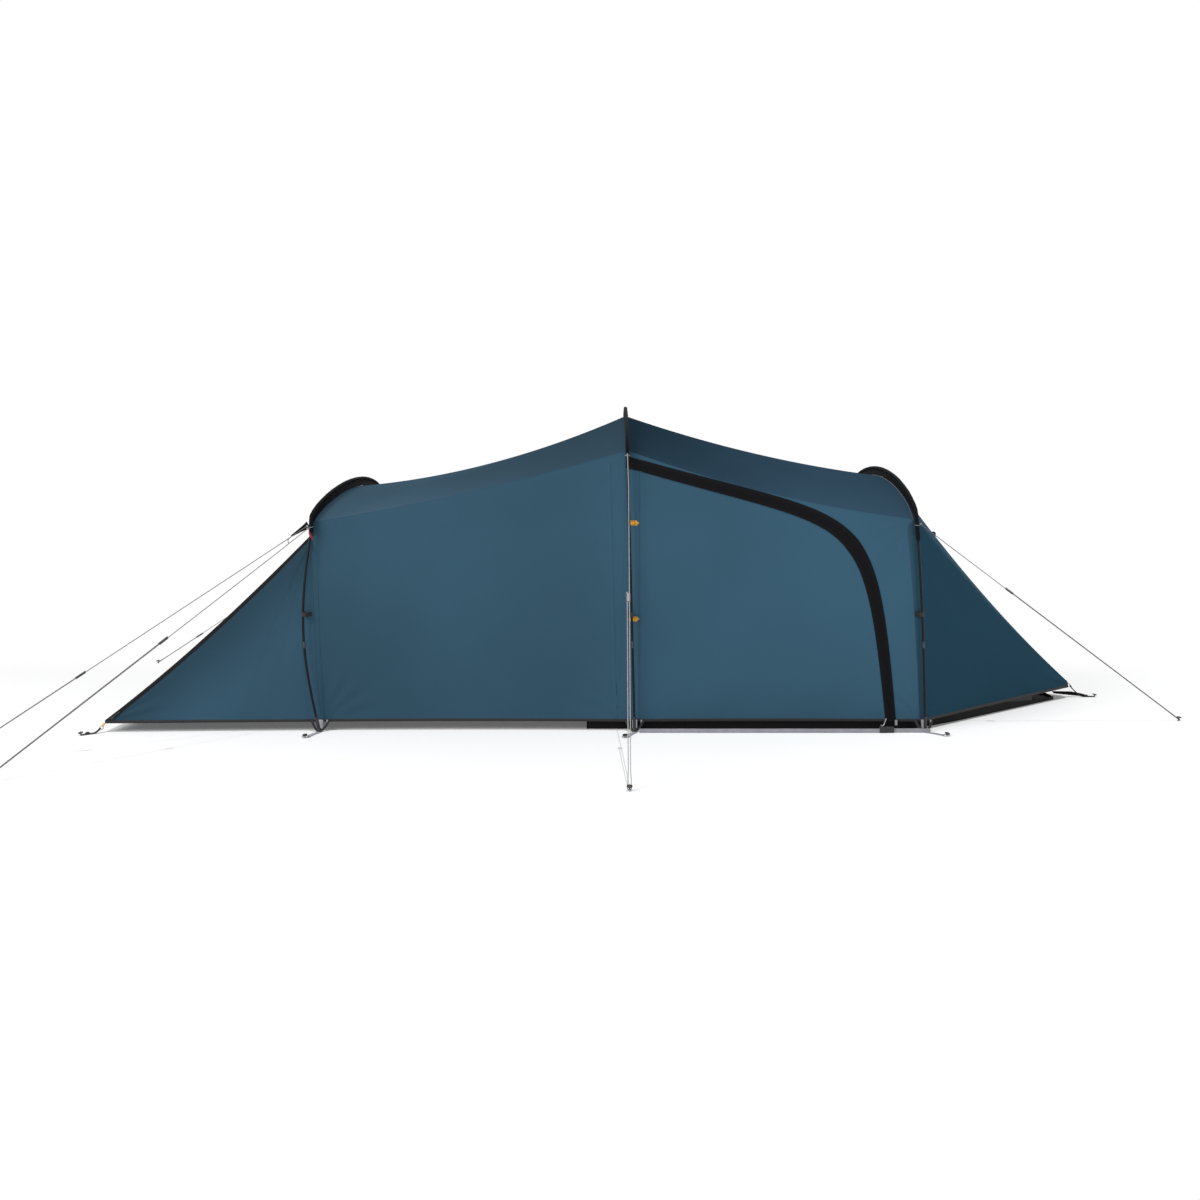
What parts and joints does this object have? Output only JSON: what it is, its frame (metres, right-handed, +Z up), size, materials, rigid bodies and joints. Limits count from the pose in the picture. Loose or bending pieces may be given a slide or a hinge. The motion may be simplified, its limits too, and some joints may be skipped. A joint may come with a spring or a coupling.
{
  "type": "tunnel tent",
  "caption": "Low three-pole tunnel tent with a raised middle arch, a side door, a sloping porch door, a pegged cone end and guy lines.",
  "frame": {"origin": "on the ground, under the top of the centre arch, midway between the two long walls", "axes": "+X along the ridge from the porch to the cone, -Y towards the side with the side door, +Z up"},
  "size_m": [4.6632, 3.663, 1.2844],
  "materials": {
    "blue_fabric": "coated nylon, slate blue, slight sheen",
    "roof_fabric": "coated nylon, darker slate blue roof",
    "black_fabric": "black polyester, matt",
    "grey_webbing": "woven webbing, pale lilac grey",
    "amber_webbing": "woven webbing, amber",
    "black_plastic": "moulded nylon, black",
    "pole_laminate": "black anodised tube",
    "guy_cord": "braided cord, light grey"
  },
  "bodies": {
    "tent": {"clip_centre_far": "black_plastic", "clip_centre_near": "black_plastic", "clip_left_far": "black_plastic", "clip_left_near": "black_plastic", "clip_right_far": "black_plastic", "clip_right_near": "black_plastic", "cone_far": "blue_fabric", "cone_near": "blue_fabric", "corner_strap_far": "amber_webbing", "corner_strap_near": "amber_webbing", "end_gable": "blue_fabric", "end_wall_far": "blue_fabric", "end_wall_near": "blue_fabric", "foot_strap_centre_far": "grey_webbing", "foot_strap_centre_near": "grey_webbing", "foot_strap_left_far": "grey_webbing", "foot_strap_left_near": "grey_webbing", "foot_strap_right_far": "grey_webbing", "foot_strap_right_near": "grey_webbing", "ground_strap": "grey_webbing", "guy_centre_far": "guy_cord", "guy_centre_near": "guy_cord", "guy_left_front_far": "guy_cord", "guy_left_front_near": "guy_cord", "guy_left_side_far": "guy_cord", "guy_left_side_near": "guy_cord", "guy_right_far": "guy_cord", "guy_right_near": "guy_cord", "inner_canopy": "black_fabric", "inner_floor": "black_fabric", "pole_centre": "pole_laminate", "pole_left": "pole_laminate", "pole_right": "pole_laminate", "roof_left": "roof_fabric", "roof_right": "roof_fabric", "sleeve_centre": "black_fabric", "sleeve_left": "black_fabric", "sleeve_right": "black_fabric", "tie_back_lower": "amber_webbing", "tie_back_upper": "amber_webbing", "tip_strap": "amber_webbing", "vent_hood": "black_fabric", "wall_far_left": "blue_fabric", "wall_far_right": "blue_fabric", "wall_near_left": "blue_fabric", "wall_near_right": "blue_fabric"},
    "side_door": {"side_door": "blue_fabric", "door_zip_flap": "black_fabric"},
    "end_door": {"end_door": "blue_fabric"},
    "buckle_plug": {"buckle_plug": "black_plastic"},
    "zip_slider_near": {"zip_slider_near": "black_plastic"},
    "zip_slider_far": {"zip_slider_far": "black_plastic"},
    "tensioner_left_front_near": {"tensioner_left_front_near": "black_plastic"},
    "tensioner_left_side_near": {"tensioner_left_side_near": "black_plastic"},
    "tensioner_centre_near": {"tensioner_centre_near": "black_plastic"},
    "tensioner_right_near": {"tensioner_right_near": "black_plastic"},
    "tensioner_left_front_far": {"tensioner_left_front_far": "black_plastic"},
    "tensioner_left_side_far": {"tensioner_left_side_far": "black_plastic"},
    "tensioner_centre_far": {"tensioner_centre_far": "black_plastic"},
    "tensioner_right_far": {"tensioner_right_far": "black_plastic"}
  },
  "joints": [
    {"name": "side_door_swing", "type": "hinge", "parent": "tent", "child": "side_door", "pos_m": [0.05, -0.842, 0.5], "axis": [0, 0, -1], "range_deg": [0, 85]},
    {"name": "end_door_lift", "type": "hinge", "parent": "tent", "child": "end_door", "pos_m": [-1.20484, 0, 0.7548], "axis": [0, 1, 0], "range_deg": [0, 85]},
    {"name": "buckle_release", "type": "slide", "parent": "tent", "child": "buckle_plug", "axis": [-1, 0, 0], "range_m": [0, 0.024]},
    {"name": "zip_slide_near", "type": "slide", "parent": "tent", "child": "zip_slider_near", "axis": [0.7755, 0.0102, 0.6313], "range_m": [0, 0.3]},
    {"name": "zip_slide_far", "type": "slide", "parent": "tent", "child": "zip_slider_far", "axis": [0.7755, -0.0102, 0.6313], "range_m": [0, 0.3]},
    {"name": "guy_adjust_left_front_near", "type": "slide", "parent": "tent", "child": "tensioner_left_front_near", "axis": [-0.7236, -0.445, -0.5276], "range_m": [-0.3, 0.3]},
    {"name": "guy_adjust_left_side_near", "type": "slide", "parent": "tent", "child": "tensioner_left_side_near", "axis": [-0.582, -0.6098, -0.538], "range_m": [-0.3, 0.3]},
    {"name": "guy_adjust_centre_near", "type": "slide", "parent": "tent", "child": "tensioner_centre_near", "axis": [-0.0016, -0.6787, -0.7344], "range_m": [-0.3, 0.3]},
    {"name": "guy_adjust_right_near", "type": "slide", "parent": "tent", "child": "tensioner_right_near", "axis": [0.7968, 0.1758, -0.5781], "range_m": [-0.3, 0.3]},
    {"name": "guy_adjust_left_front_far", "type": "slide", "parent": "tent", "child": "tensioner_left_front_far", "axis": [-0.8305, 0.1782, -0.5277], "range_m": [-0.3, 0.173]},
    {"name": "guy_adjust_left_side_far", "type": "slide", "parent": "tent", "child": "tensioner_left_side_far", "axis": [-0.582, 0.6098, -0.538], "range_m": [-0.3, 0.3]},
    {"name": "guy_adjust_centre_far", "type": "slide", "parent": "tent", "child": "tensioner_centre_far", "axis": [-0.0016, 0.6787, -0.7344], "range_m": [-0.3, 0.3]},
    {"name": "guy_adjust_right_far", "type": "slide", "parent": "tent", "child": "tensioner_right_far", "axis": [0.653, 0.4807, -0.5853], "range_m": [-0.3, 0.3]}
  ]
}
